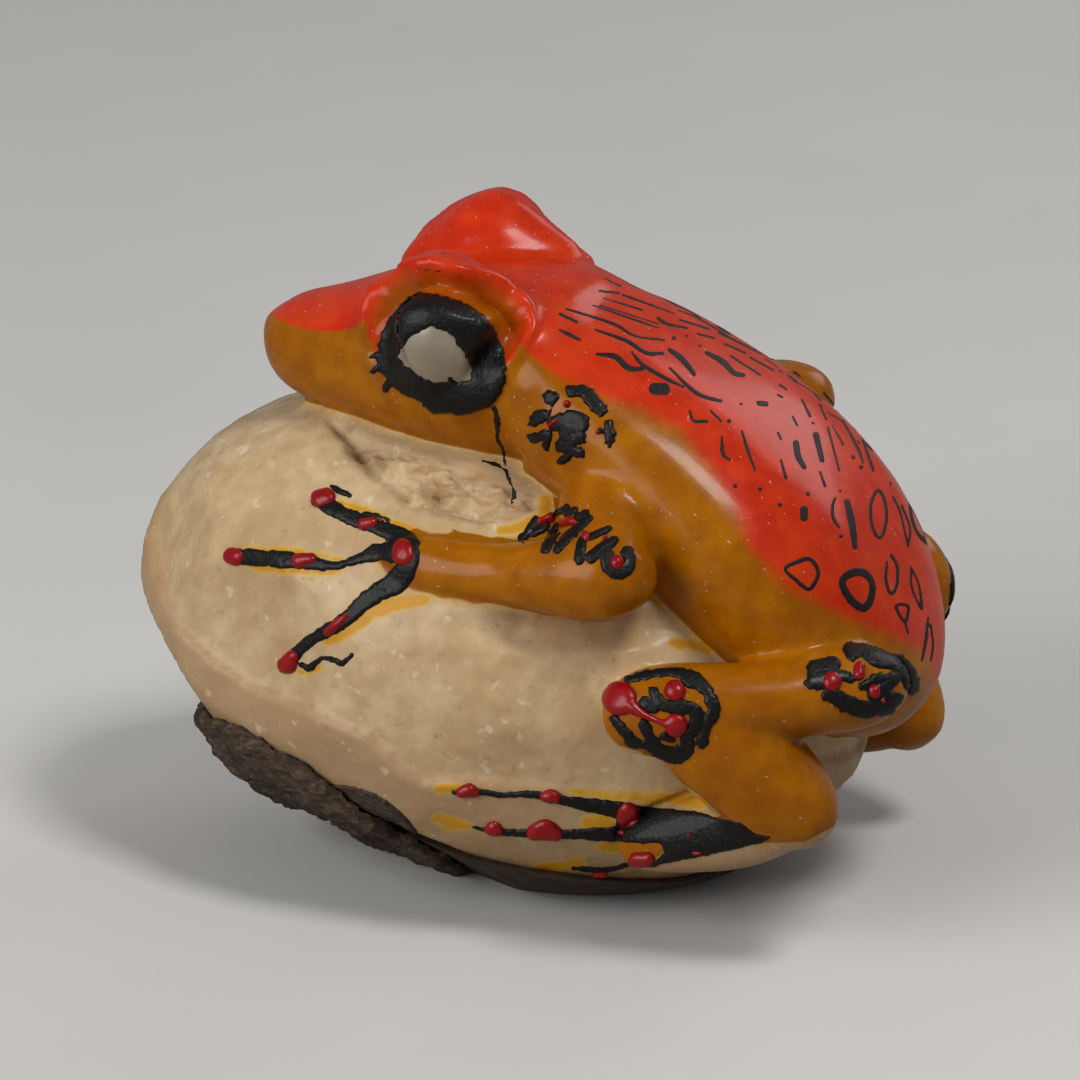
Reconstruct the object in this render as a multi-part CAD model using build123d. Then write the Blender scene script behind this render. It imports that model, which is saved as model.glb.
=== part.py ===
from build123d import *
import math
import os

# A carved frog that clings to the nut it is carved from.
# The frog looks towards -X, its left side is -Y, and the nut stands on Z = 0.
# The origin is on the flat resting face, under the middle of the nut.

# The nut, whose nose end is tipped up by nut_tilt degrees.
nut_length = 44.4
nut_width = 32.0
nut_height = 28.2
nut_tilt = 11.0
rest_depth = 0.95
skin_thickness = 0.4
husk_thickness = 0.7
husk_radius = 8.8

# The frog's body.
torso_length = 20.5
torso_drop = 18.5
torso_width = 21.4
torso_depth = 13.6
head_length = 19.0
head_width = 15.4
head_depth = 10.4
brow_length = 13.8
brow_width = 7.0
brow_height = 10.4
eye_radius = 3.6
eye_curve = 5.6
eye_stand = 1.3
pupil_radius = 1.8

# The limbs, as half thicknesses.
arm_radius = 2.35
wrist_radius = 1.85
thigh_radius = 2.45
knee_radius = 2.5
shin_radius = 2.6
heel_radius = 2.5
foot_radius = 2.4
far_elbow_lift = 2.4
far_brow_shift = 0.9
far_brow_lift = 0.3

# The raised paint: lines drawn as fingers and toes, and drops set on them.
finger_width = 1.15
line_height = 0.45
toe_width = 1.0
palm_width = 2.4
ring_height = 0.3
drop_radius = 0.72
drop_height = 0.45

# The size of every block, bar and sight line that cuts or looks right through the part.
overrun = 60.0

# The turn, in degrees, at which a rounded end gets its last ring.
dome_turn = 54.0

# A rest of a cut piece that is smaller than this share of the largest rest is left out.
sliver_share = 0.12

half_length = nut_length / 2
half_width = nut_width / 2
half_height = nut_height / 2
tilt = math.radians(nut_tilt)
centre_height = math.hypot(half_length * math.sin(tilt), half_height * math.cos(tilt)) - rest_depth
tipped = Location((0, 0, centre_height), (0, nut_tilt, 0))


def ring(centre, along, outward, half_side, half_out, half_in, square=2.0):
    """A closed oval of four curves, square to the direction along.

    It is an ellipse for a square of 2, and fuller at its corners for a higher value.
    """
    forward = along.normalized()
    sideways = forward.cross(outward).normalized()
    out = sideways.cross(forward)
    corner_share = 0.5 ** (1 / square)
    heads = [sideways * half_side, out * half_out, sideways * -half_side, out * -half_in]
    quarters = []
    for index, head in enumerate(heads):
        following = heads[(index + 1) % len(heads)]
        quarters.append(Edge.make_spline(
            [centre + head, centre + (head + following) * corner_share, centre + following],
            tangents=[following, head * -1]))
    return Wire(quarters)


def dome(centre, along, outward, half_side, half_out, half_in, reach, square, closing):
    """The ring that rounds off one end of a limb, and the point that closes it."""
    turn = math.radians(dome_turn)
    size = math.cos(turn)
    shoulder = centre + along.normalized() * (reach * math.sin(turn))
    tip = centre + along.normalized() * reach
    sections = [
        ring(shoulder, along if closing else along * -1, outward,
             half_side * size, half_out * size, half_in * size, square),
        Vertex(tip.X, tip.Y, tip.Z),
    ]
    return sections if closing else sections[::-1]


def limb(stations, outward, square=2.0, start_share=1.0, end_share=1.0):
    """A rounded form through stations of a centre and three half thicknesses.

    The stations give half_side, half_out and half_in, and both ends are domed.
    """
    centres = [station[0] for station in stations]
    sections = []
    for index, (centre, half_side, half_out, half_in) in enumerate(stations):
        before = centres[max(index - 1, 0)]
        after = centres[min(index + 1, len(centres) - 1)]
        sections.append(ring(centre, after - before, outward, half_side, half_out, half_in, square))
    first = stations[0]
    last = stations[-1]
    start = dome(first[0], centres[0] - centres[1], outward, first[1], first[2], first[3],
                 start_share * (first[2] + first[3]) / 2, square, False)
    end = dome(last[0], centres[-1] - centres[-2], outward, last[1], last[2], last[3],
               end_share * (last[2] + last[3]) / 2, square, True)
    return Solid.make_loft(start + sections + end)


def largest(shape):
    """The biggest solid of a cut shape, without slivers."""
    solids = shape.solids()
    return max(solids, key=lambda solid: solid.volume)


def trimmed(shape, neighbours):
    """A piece with its larger neighbours taken away, so that they meet face to face."""
    for neighbour in neighbours:
        shape = largest(shape - neighbour)
    return shape


def trimmed_group(solids, neighbours):
    """Several pieces, each with its larger neighbours taken away, without slivers."""
    kept = list(solids)
    for neighbour in neighbours:
        kept = [rest for solid in kept for rest in (solid - neighbour).solids()]
    floor_volume = max(solid.volume for solid in kept) * sliver_share
    return [solid for solid in kept if solid.volume > floor_volume]


# The nut: kernel, skin and husk.

def nut_form(grow):
    """The whole nut as an egg, grown by a layer's thickness, tipped and set at its height."""
    steps = 6
    rings = []
    for step in range(1, steps):
        turn = math.pi * step / steps
        blunt_share = math.sin(turn) ** 0.94
        place = Vector(-(half_length + grow) * math.cos(turn), 0, 0)
        rings.append(ring(place, Vector(1, 0, 0), Vector(0, 0, 1),
                          (half_width + grow) * blunt_share,
                          (half_height + grow) * blunt_share,
                          (half_height + grow) * blunt_share, 2.1))
    ends = [Vertex(-half_length - grow, 0, 0), Vertex(half_length + grow, 0, 0)]
    egg = Solid.make_loft([ends[0]] + rings + [ends[1]]).moved(tipped)
    for azimuth, elevation, depth_share in under_face_shares:
        egg = egg - facet(azimuth, elevation, depth_share, grow)
    return largest(egg)


def facet(azimuth, elevation, depth_share, grow):
    """The block that a flat pared face takes off the nut.

    The face looks along azimuth and elevation, and depth_share of the reach there is left.
    """
    turn = math.radians(azimuth)
    lift = math.radians(elevation)
    look = Vector(math.cos(lift) * math.cos(turn), math.cos(lift) * math.sin(turn), math.sin(lift))
    reach = math.sqrt((half_length * look.X) ** 2 + (half_width * look.Y) ** 2
                      + (half_height * look.Z) ** 2)
    face = Plane(origin=look * (reach * depth_share + grow), z_dir=look)
    block = face * Box(overrun, overrun, overrun, align=(Align.CENTER, Align.CENTER, Align.MIN))
    return tipped * block


def floor_block():
    """Everything under the flat resting face."""
    return Box(overrun, overrun, overrun, align=(Align.CENTER, Align.CENTER, Align.MAX))


# The flats low on the nut that run through every layer, in the same way as the pared faces.
under_face_shares = [
    (-150, -42, 0.925),
    (150, -42, 0.925),
    (-100, -58, 0.925),
    (100, -58, 0.925),
    (-26, -26, 0.945),
    (26, -26, 0.945),
]
# Each pared face: its azimuth and elevation in degrees, and the reach that it leaves.
pared_face_shares = [
    (-112, 2, 0.93),
    (-140, 14, 0.965),
    (-165, 34, 0.985),
    (112, 2, 0.93),
    (140, 14, 0.955),
    (-75, -8, 0.955),
    (75, -8, 0.955),
]
skin_level_share = 0.60
husk_look = (-0.47, -0.52, -0.72)


def make_kernel(grow=0.0):
    """The pared kernel under the skin, or the same form grown by a coat of paint."""
    kernel = nut_form(grow - skin_thickness)
    for azimuth, elevation, depth_share in pared_face_shares:
        kernel = kernel - facet(azimuth, elevation, depth_share, grow)
    return largest(kernel - floor_block())


def make_skin():
    """The thin dark skin under the nut, up to an edge that runs level in the tipped nut."""
    edge = Plane(origin=(0, 0, -half_height * skin_level_share))
    under = tipped * (edge * Box(overrun, overrun, overrun, align=(Align.CENTER, Align.CENTER, Align.MAX)))
    layer = nut_form(0) & under
    return largest(largest(layer - nut_form(-skin_thickness)) - floor_block())


def make_husk():
    """The remnant of husk that was left on the skin, low on the nose end."""
    patch = Plane(origin=(0, 0, 0), z_dir=husk_look) * Cylinder(
        husk_radius, overrun, align=(Align.CENTER, Align.CENTER, Align.MIN))
    layer = nut_form(husk_thickness) & tipped * patch
    return largest(largest(layer - nut_form(0)) - floor_block())


# The torso: its spine runs from the neck, over the nut, down to the rump.
# Each row is along and down the spine, then half width, half out and half in.
torso_start = Vector(nut_length * 0.055, 0, centre_height + nut_height * 0.63)
torso_shares = [
    (0.00, 0.00, 0.72, 0.55, 0.80),
    (0.33, 0.17, 0.90, 0.66, 0.95),
    (0.62, 0.43, 1.00, 0.79, 1.00),
    (0.86, 0.70, 0.95, 0.68, 0.85),
    (1.00, 0.95, 0.66, 0.50, 0.62),
]


def neck_block(facing):
    """The space ahead of the neck for a facing of 1, and behind it for -1."""
    neck = Plane(origin=head_start, z_dir=neck_look * facing)
    return neck * Box(overrun, overrun, overrun, align=(Align.CENTER, Align.CENTER, Align.MIN))


def make_torso(kernel):
    stations = []
    for along, down, wide, out, inner in torso_shares:
        centre = torso_start + Vector(torso_length * along, 0, -torso_drop * down)
        stations.append((centre, torso_width / 2 * wide, torso_depth / 2 * out, torso_depth / 2 * inner))
    body = limb(stations, Vector(0.45, 0, 1), 2.25, 0.8, 0.7)
    return trimmed(body, [neck_block(1), kernel])


# The head, from the neck forward to the snout.
# Each row is along the head, then top, bottom and half width.
head_start = torso_start + Vector(head_length * 0.11, 0, -head_depth * 0.04)
neck_look = Vector(-0.977, 0, 0.212)
head_shares = [
    (-0.06, 0.84, 1.15, 0.96),
    (0.20, 0.95, 1.15, 1.00),
    (0.44, 0.93, 1.06, 0.93),
    (0.72, 0.62, 0.82, 0.66),
    (0.95, 0.40, 0.54, 0.38),
]


def make_head(kernel):
    stations = []
    for along, top, bottom, wide in head_shares:
        centre = head_start - Vector(head_length * along, 0, head_depth * 0.04 * along)
        stations.append((centre, head_width / 2 * wide, head_depth / 2 * top, head_depth / 2 * bottom))
    form = limb(stations, Vector(0, 0, 1), 2.25, 0.5, 0.42)
    return trimmed(form, [neck_block(-1), kernel])


brow_along_share = 0.325
brow_rise_share = 0.45
brow_spread_share = 0.62


def make_brow(side, carriers):
    """The hood over an eye, a rounded ridge that sits higher and further forward on the right."""
    centre = head_start + Vector(-head_length * brow_along_share,
                                 side * head_width / 2 * brow_spread_share,
                                 head_depth * brow_rise_share - brow_height * 0.25)
    if side > 0:
        centre = centre + Vector(-far_brow_shift, 0, far_brow_lift)
    stations = []
    for along, size in ((-0.31, 0.50), (-0.17, 0.82), (-0.04, 1.0), (0.12, 0.90), (0.31, 0.58)):
        stations.append((centre + Vector(brow_length * along, 0, 0),
                         brow_width / 2 * size, brow_height / 2 * size, brow_height / 2 * size))
    form = limb(stations, Vector(0, side * 0.25, 1), 2.0, 0.5, 0.55)
    return trimmed(form, carriers)


eye_along_share = 0.325
eye_rise_share = 0.25
eye_look = Vector(-0.10, -0.96, 0.20)


def eye_plane(side):
    """The plane at the middle of the eyeball's curve, which looks out along the eye."""
    surface = head_start + Vector(-head_length * eye_along_share,
                                  side * head_width / 2, head_depth * eye_rise_share)
    if side > 0:
        surface = surface + Vector(-far_brow_shift, 0, 0)
    look = Vector(eye_look.X, -side * eye_look.Y, eye_look.Z).normalized()
    return Plane(origin=surface + look * (eye_stand - eye_curve), z_dir=look)


def rod(plane, radius):
    """A round bar that starts at a plane and runs out along it."""
    return plane * Cylinder(radius, overrun, align=(Align.CENTER, Align.CENTER, Align.MIN))


def make_eye(side, carriers):
    """The bare dome of the eye, under its hood."""
    plane = eye_plane(side)
    ball = Solid.make_sphere(eye_curve).moved(Location(plane.origin))
    return trimmed(largest(ball & rod(plane, eye_radius)), carriers)


def make_eye_ring(side, carriers):
    """The raised paint round the bare middle of the eye, which wraps over the eye's rim."""
    plane = eye_plane(side)
    ball = Solid.make_sphere(eye_curve).moved(Location(plane.origin))
    coat = Solid.make_sphere(eye_curve + ring_height).moved(Location(plane.origin))
    coat = coat & rod(plane, eye_radius + ring_height)
    bare = ball & rod(plane, eye_radius)
    return trimmed(largest(largest(coat - bare) - rod(plane, pupil_radius)), carriers)


# Places on the frog's limbs, as shares of the nut's length, width and height.
def place(along_share, side_share, height_share, side):
    return Vector(nut_length * along_share, side * nut_width * side_share, nut_height * height_share)


shoulder_shares = (0.208, 0.262, 0.890)
elbow_shares = (0.240, 0.405, 0.800)
wrist_shares = (-0.030, 0.385, 0.752)
far_elbow_shift_share = 0.05
hip_size_shares = {-1: 0.95, 1: 1.4}
# The hips, along the torso, out from its middle and down it.
hip_shares = {
    -1: (1.061, 0.807, 0.812),
    1: (0.925, 0.927, 0.838),
}
# The legs, left and right, which the carver set a little differently.
leg_shares = {
    -1: {
        "thigh": (0.430, 0.385, 0.567),
        "knee": (0.310, 0.445, 0.545),
        "shin": (0.372, 0.415, 0.508),
        "heel": (0.485, 0.375, 0.355),
        "foot": (0.395, 0.375, 0.285),
        "sole": (0.300, 0.390, 0.238),
    },
    1: {
        "thigh": (0.385, 0.385, 0.530),
        "knee": (0.285, 0.445, 0.515),
        "shin": (0.346, 0.415, 0.476),
        "heel": (0.478, 0.325, 0.270),
        "foot": (0.385, 0.350, 0.230),
        "sole": (0.290, 0.375, 0.200),
    },
}


def elbow_place(side):
    """The elbow, which the carver left higher on the right."""
    elbow = place(*elbow_shares, side)
    if side > 0:
        elbow = elbow + Vector(nut_length * far_elbow_shift_share, 0, far_elbow_lift)
    return elbow


def make_upper_arm(side, carriers):
    shoulder = place(*shoulder_shares, side)
    elbow = elbow_place(side)
    stations = [
        (shoulder, arm_radius * 1.25, arm_radius * 1.1, arm_radius * 1.3),
        ((shoulder + elbow) / 2, arm_radius * 1.1, arm_radius, arm_radius * 1.2),
        (elbow, arm_radius * 1.02, arm_radius, arm_radius),
    ]
    return trimmed(limb(stations, Vector(0, side, 0)), carriers)


def make_forearm(side, carriers):
    elbow = elbow_place(side)
    wrist = place(*wrist_shares, side)
    stations = []
    for along, size, flat in ((0.0, 1.0, 1.0), (0.35, 0.86, 0.95), (0.7, 0.80, 0.85), (1.0, 0.98, 0.7)):
        radius = arm_radius * (1 - along) + wrist_radius * along
        stations.append((elbow + (wrist - elbow) * along, radius * size * 1.05,
                         radius * size * flat, radius * 1.4))
    return trimmed(limb(stations, Vector(0, side, 0)), carriers)


def leg_place(name, side):
    """A named place of a leg, of which the hip keeps to the torso and the rest to the nut."""
    if name == "hip":
        along, out, down = hip_shares[side]
        return torso_start + Vector(torso_length * along, side * torso_width / 2 * out, -torso_drop * down)
    return place(*leg_shares[side][name], side)


def leg_part(side, rows, carriers, square=2.0):
    """A rounded form through named places of a leg.

    Each row names a place and gives its half side, half out and half in.
    """
    stations = []
    for name, half_side, half_out, half_in in rows:
        stations.append((leg_place(name, side), half_side, half_out, half_in))
    return trimmed(limb(stations, Vector(0, side, 0), square), carriers)


def make_thigh(side, carriers):
    return leg_part(side, [
        ("hip", thigh_radius * hip_size_shares[side], thigh_radius, thigh_radius * 1.3),
        ("thigh", thigh_radius * 0.88, thigh_radius * 0.9, thigh_radius * 1.3),
        ("knee", knee_radius, knee_radius * 0.9, knee_radius * 1.2),
    ], carriers)


def make_shin(side, carriers):
    """The shin, a broad slab that fills the bend of the knee, level with the thigh."""
    return leg_part(side, [
        ("shin", shin_radius * 1.08, shin_radius * 0.88, shin_radius * 1.2),
        ("heel", heel_radius, heel_radius * 0.85, heel_radius * 1.2),
    ], carriers, 2.5)


def make_foot(side, carriers):
    return leg_part(side, [
        ("heel", foot_radius * 0.9, foot_radius * 0.75, foot_radius * 1.1),
        ("foot", foot_radius, foot_radius * 0.8, foot_radius * 1.1),
        ("sole", foot_radius * 0.7, foot_radius * 0.55, foot_radius),
    ], carriers)


# The lines of the hand and the foot, as shares of the nut's length and height.
palm_shares = [(-0.024, 0.822), (-0.036, 0.744)]
finger_shares = [
    [(-0.030, 0.800), (-0.094, 0.828), (-0.166, 0.856)],
    [(-0.030, 0.775), (-0.100, 0.760), (-0.170, 0.752), (-0.273, 0.730)],
    [(-0.036, 0.750), (-0.102, 0.657), (-0.181, 0.551)],
]
toe_shares = [
    [(0.300, 0.310), (0.260, 0.316), (0.158, 0.335), (0.050, 0.326)],
    [(0.310, 0.265), (0.260, 0.255), (0.192, 0.244), (0.070, 0.238)],
    [(0.320, 0.235), (0.250, 0.170), (0.178, 0.131)],
]

# Drops on the nut, as shares of its length and height.
hand_drop_shares = [(-0.166, 0.856), (-0.094, 0.828), (-0.273, 0.730), (-0.170, 0.752),
                    (-0.181, 0.551), (-0.102, 0.657)]
toe_drop_shares = [(0.071, 0.335), (0.174, 0.329), (0.097, 0.246), (0.164, 0.254)]

# Drops on the limbs, as shares of the half thickness there, away from a named place.
knee_drop_shares = [(-0.48, 0.51), (0.75, 0.55), (0.85, -0.20)]
hip_drop_shares = [(-0.55, 0.42), (0.12, 0.68), (0.60, 0.10)]
elbow_drop_shares = [(0.30, 0.45)]


def stroke(shares, width):
    """One brush line in the view from the side, as a flat shape."""
    points = [(nut_length * along, nut_height * height) for along, height in shares]
    return trace(Polyline(*points), width)


def painted_coat(strokes, coated_kernel, kernel):
    """A coat of paint on the left flank of the nut, with the outline of the given strokes."""
    outline = strokes[0]
    for extra in strokes[1:]:
        outline = outline + extra
    block = extrude(Plane.XZ * outline, overrun, dir=(0, -1, 0))
    return trimmed_group((coated_kernel & block).solids(), [kernel])


def make_hand_coat(coated_kernel, kernel):
    """The palm and three fingers, drawn in raised paint on the nut."""
    strokes = [stroke(palm_shares, palm_width)]
    strokes += [stroke(shares, finger_width) for shares in finger_shares]
    return painted_coat(strokes, coated_kernel, kernel)


def make_toe_coat(coated_kernel, kernel):
    """Three toes, drawn in raised paint from the foot along the nut."""
    strokes = [stroke(shares, toe_width) for shares in toe_shares]
    return painted_coat(strokes, coated_kernel, kernel)


def on_side(solids, side):
    """Pieces of the left flank, mirrored when they are wanted on the right."""
    return solids if side < 0 else [mirror(solid, Plane.XZ) for solid in solids]


def drops(spots, carriers, side):
    """Raised drops of paint, whose flat bases lie on the outermost flank of the carriers."""
    made = []
    for along, height in spots:
        start = Vector(along, side * overrun, height)
        look = Axis(start, Vector(0, -side, 0))
        hits = [hit for carrier in carriers for hit in carrier.find_intersection_points(look)]
        seat, normal = min(hits, key=lambda hit: (hit[0] - start).length)
        base = ring(seat, normal, Vector(1, 0, 0), drop_radius, drop_radius, drop_radius)
        crown = dome(seat, normal, Vector(1, 0, 0), drop_radius, drop_radius, drop_radius,
                     drop_height, 2.0, True)
        made.append(Solid.make_loft([base] + crown))
    return made


def limb_drops(side, joint, radius, drop_shares, carriers):
    """Drops round a named place of a limb, spaced by the half thickness there."""
    spots = [(joint.X + radius * along, joint.Z + radius * height) for along, height in drop_shares]
    return drops(spots, carriers, side)


kernel = make_kernel()
coated_kernel = make_kernel(line_height)
torso = make_torso(kernel)
head = make_head(kernel)

pieces = {
    "nut_kernel": kernel,
    "seed_skin": make_skin(),
    "husk_patch": make_husk(),
    "frog_torso": torso,
    "frog_head": head,
}
hand_coat = make_hand_coat(coated_kernel, kernel)
toe_coat = make_toe_coat(coated_kernel, kernel)
for name, side in (("left_", -1), ("right_", 1)):
    brow = make_brow(side, [head, torso])
    pieces[name + "brow"] = brow
    pieces[name + "eye"] = make_eye(side, [head, brow, torso])
    pieces[name + "eye_ring"] = make_eye_ring(side, [head, brow, torso])
    upper_arm = make_upper_arm(side, [kernel, torso, head])
    forearm = make_forearm(side, [kernel, torso, upper_arm])
    thigh = make_thigh(side, [kernel, torso])
    shin = make_shin(side, [kernel, torso, thigh])
    foot = make_foot(side, [kernel, shin, thigh])
    pieces[name + "upper_arm"] = upper_arm
    pieces[name + "forearm"] = forearm
    pieces[name + "hand"] = Compound(trimmed_group(on_side(hand_coat, side), [forearm]))
    pieces[name + "thigh"] = thigh
    pieces[name + "shin"] = shin
    pieces[name + "foot"] = foot
    pieces[name + "toes"] = Compound(trimmed_group(on_side(toe_coat, side), [foot, shin]))
    nut_spots = [(nut_length * along, nut_height * height)
                 for along, height in hand_drop_shares + toe_drop_shares]
    knee = leg_place("knee", side)
    hip = leg_place("hip", side)
    all_drops = drops(nut_spots, [coated_kernel], side)
    all_drops += limb_drops(side, elbow_place(side), arm_radius, elbow_drop_shares, [forearm, upper_arm])
    all_drops += limb_drops(side, knee, knee_radius, knee_drop_shares, [thigh])
    all_drops += limb_drops(side, hip, thigh_radius, hip_drop_shares, [thigh, torso])
    pieces[name + "drops"] = Compound(all_drops)

os.makedirs("parts", exist_ok=True)
for name, solid in pieces.items():
    export_step(solid, f"parts/{name}.step")
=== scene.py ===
import math

import bpy
import numpy as np
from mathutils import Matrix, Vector, noise
from mathutils.bvhtree import BVHTree


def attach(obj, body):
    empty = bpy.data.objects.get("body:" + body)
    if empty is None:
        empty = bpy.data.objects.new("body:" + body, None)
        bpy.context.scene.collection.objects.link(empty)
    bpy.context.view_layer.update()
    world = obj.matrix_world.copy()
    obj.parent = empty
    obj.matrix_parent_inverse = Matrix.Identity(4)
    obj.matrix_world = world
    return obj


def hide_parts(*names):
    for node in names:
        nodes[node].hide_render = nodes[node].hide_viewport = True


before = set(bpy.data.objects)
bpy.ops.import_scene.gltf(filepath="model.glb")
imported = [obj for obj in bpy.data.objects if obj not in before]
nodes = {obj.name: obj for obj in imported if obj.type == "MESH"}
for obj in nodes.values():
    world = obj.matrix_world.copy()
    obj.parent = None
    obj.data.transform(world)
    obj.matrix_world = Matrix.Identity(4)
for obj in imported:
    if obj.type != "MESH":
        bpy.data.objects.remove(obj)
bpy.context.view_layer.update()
mm = 0.001
print("frame loaded:", len(nodes), "nodes")


# Camera, floor and light

view = {
    "azimuth": 20,
    "elevation": 20,
    "target": (2.1 * mm, 0, 19.3 * mm),
    "distance": 380 * mm,
    "frameWidth": 62.64 * mm,
    "imageSize": 1080,
    "sensor": 36,
}
turn = math.radians(view["azimuth"])
lift = math.radians(view["elevation"])
lookBack = np.array([math.sin(turn) * math.cos(lift), -math.cos(turn) * math.cos(lift), math.sin(lift)])
lookRight = np.array([math.cos(turn), math.sin(turn), 0])
lookUp = np.cross(lookBack, lookRight)
lookTarget = np.array(view["target"])
lookFrom = lookTarget + lookBack * view["distance"]
pixelSize = view["frameWidth"] / view["imageSize"]
imageMiddle = view["imageSize"] / 2


def makeCamera():
    camera = bpy.data.objects.new("camera", bpy.data.cameras.new("camera"))
    bpy.context.scene.collection.objects.link(camera)
    camera.location = lookFrom
    camera.rotation_euler = Vector(-lookBack).to_track_quat("-Z", "Y").to_euler()
    camera.data.sensor_width = view["sensor"]
    camera.data.lens = view["distance"] / view["frameWidth"] * view["sensor"]
    camera.data.clip_start = 10 * mm
    camera.data.clip_end = 20
    bpy.context.scene.camera = camera


lamps = {
    "overhead": {"place": (0.20, -0.09, 0.40), "power": 0.85, "size": 0.11},
    "window": {"place": (-0.21, -0.34, 0.20), "power": 1.3, "size": 0.3},
    "back": {"place": (0.16, 0.34, 0.24), "power": 0.3, "size": 0.2},
}


def makeLamps():
    for name, lamp in lamps.items():
        light = bpy.data.lights.new(name, "AREA")
        light.energy = lamp["power"]
        light.size = lamp["size"]
        holder = bpy.data.objects.new(name, light)
        bpy.context.scene.collection.objects.link(holder)
        holder.location = lamp["place"]
        towards = Vector(lookTarget) - Vector(lamp["place"])
        holder.rotation_euler = towards.to_track_quat("-Z", "Y").to_euler()


# Shader maths

class Value:
    def __init__(self, finish, socket):
        self.finish = finish
        self.socket = socket

    def maths(self, operation, *values):
        return self.finish.node("ShaderNodeMath", {"operation": operation}, dict(enumerate(values)))

    def __add__(self, other):
        return self.maths("ADD", self, other)

    __radd__ = __add__

    def __sub__(self, other):
        return self.maths("SUBTRACT", self, other)

    def __rsub__(self, other):
        return self.maths("SUBTRACT", other, self)

    def __mul__(self, other):
        return self.maths("MULTIPLY", self, other)

    __rmul__ = __mul__

    def step(self, low, high):
        return self.finish.node("ShaderNodeMapRange", {"interpolation_type": "SMOOTHSTEP"},
                                {"Value": self, "From Min": low, "From Max": high})


class Finish:
    def __init__(self, name):
        self.material = bpy.data.materials.new(name)
        self.material.use_nodes = True
        self.tree = self.material.node_tree
        self.shader = self.tree.nodes["Principled BSDF"]
        self.place = self.node("ShaderNodeTexCoord", {}, {}, "Object")

    def node(self, kind, settings, values, output=0):
        made = self.tree.nodes.new(kind)
        for key, setting in settings.items():
            if key == "stops":
                ramp = made.color_ramp
                while len(ramp.elements) < len(setting):
                    ramp.elements.new(0.5)
                for element, (position, colour) in zip(ramp.elements, setting):
                    element.position = position
                    element.color = (*colour, 1)
            else:
                setattr(made, key, setting)
        for key, value in values.items():
            self.put(made.inputs[key], value)
        return Value(self, made.outputs[output])

    def put(self, socket, value):
        if isinstance(value, Value):
            self.tree.links.new(value.socket, socket)
        elif isinstance(value, tuple) and len(value) == 3 and socket.type == "RGBA":
            socket.default_value = (*value, 1)
        else:
            socket.default_value = value

    def noise(self, size, detail=3.0, roughness=0.55, warp=0.0, place=None):
        return self.node("ShaderNodeTexNoise", {}, {
            "Vector": place or self.place, "Scale": 1 / size, "Detail": detail,
            "Roughness": roughness, "Distortion": warp})

    def stretched(self, scale, turned=(0, 0, 0)):
        return self.node("ShaderNodeMapping", {}, {"Vector": self.place, "Scale": scale, "Rotation": turned})

    def field(self, name):
        return self.node("ShaderNodeAttribute", {"attribute_name": name}, {}, "Fac")

    def mix(self, factor, first, second, blend="MIX"):
        return self.node("ShaderNodeMix", {"data_type": "RGBA", "blend_type": blend},
                         {0: factor, 6: first, 7: second}, 2)

    def bump(self, height, distance, strength=1.0, under=None):
        values = {"Height": height, "Distance": distance, "Strength": strength}
        if under:
            values["Normal"] = under
        return self.node("ShaderNodeBump", {}, values)

    def surface(self, **values):
        for name, value in values.items():
            socket = self.shader.inputs[name.replace("_", " ")]
            self.put(socket, value)
        return self.material


def tone(red, green, blue):
    channels = [channel / 255 for channel in (red, green, blue)]
    return tuple(c / 12.92 if c <= 0.04045 else ((c + 0.055) / 1.055) ** 2.4 for c in channels)


# What the photograph's camera sees: rays for its pixels, and pixels for places.
# The far side is the near side mirrored, so side is -1 for near and 1 for far.

def pixelRay(across, down, side):
    point = (lookTarget + lookRight * (across - imageMiddle) * pixelSize
             + lookUp * (imageMiddle - down) * pixelSize)
    flip = np.array([1, -side, 1])
    start = lookFrom * flip
    return Vector(start), Vector(point * flip - start).normalized()


def mirroredNear(vectors, points):
    flip = np.where(points[:, 1] > 0, -1, 1)
    return vectors * np.stack([np.ones(len(points)), flip, np.ones(len(points))], axis=1)


def toPixels(points):
    away = mirroredNear(points, points) - lookFrom
    depth = -(away @ lookBack)
    scale = view["distance"] / depth / pixelSize
    return imageMiddle + (away @ lookRight) * scale, imageMiddle - (away @ lookUp) * scale


def smooth(low, high, value):
    share = np.clip((value - low) / (high - low), 0, 1)
    return share * share * (3 - 2 * share)


# Signed distances in pixels, more than zero inside.

def curved(chain):
    # points between the given ones, so that a brush line bends softly
    if len(chain) < 3:
        return chain if len(chain) > 1 else chain + chain
    spots = np.array(chain, dtype=float)
    closed = np.allclose(spots[0, :2], spots[-1, :2])
    before = spots[-2] if closed else 2 * spots[0] - spots[1]
    after = spots[1] if closed else 2 * spots[-1] - spots[-2]
    spots = np.vstack([before, spots, after])
    made = []
    for a, b, c, d in zip(spots[:-3], spots[1:-2], spots[2:-1], spots[3:]):
        for share in (0, 0.25, 0.5, 0.75):
            made.append(tuple(0.5 * (2 * b + (c - a) * share + (2 * a - 5 * b + 4 * c - d) * share ** 2
                                     + (3 * b - a - 3 * c + d) * share ** 3)))
    return made + [tuple(spots[-2])]


def chainField(across, down, chains):
    best = np.full(across.shape, -1e6)
    for chain in chains:
        spots = curved(chain)
        for (ax, ay, ar), (bx, by, br) in zip(spots[:-1], spots[1:]):
            dx, dy = bx - ax, by - ay
            share = np.clip(((across - ax) * dx + (down - ay) * dy) / max(dx * dx + dy * dy, 1e-9), 0, 1)
            away = np.hypot(across - ax - share * dx, down - ay - share * dy)
            best = np.maximum(best, ar + (br - ar) * share - away)
    return best


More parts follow.
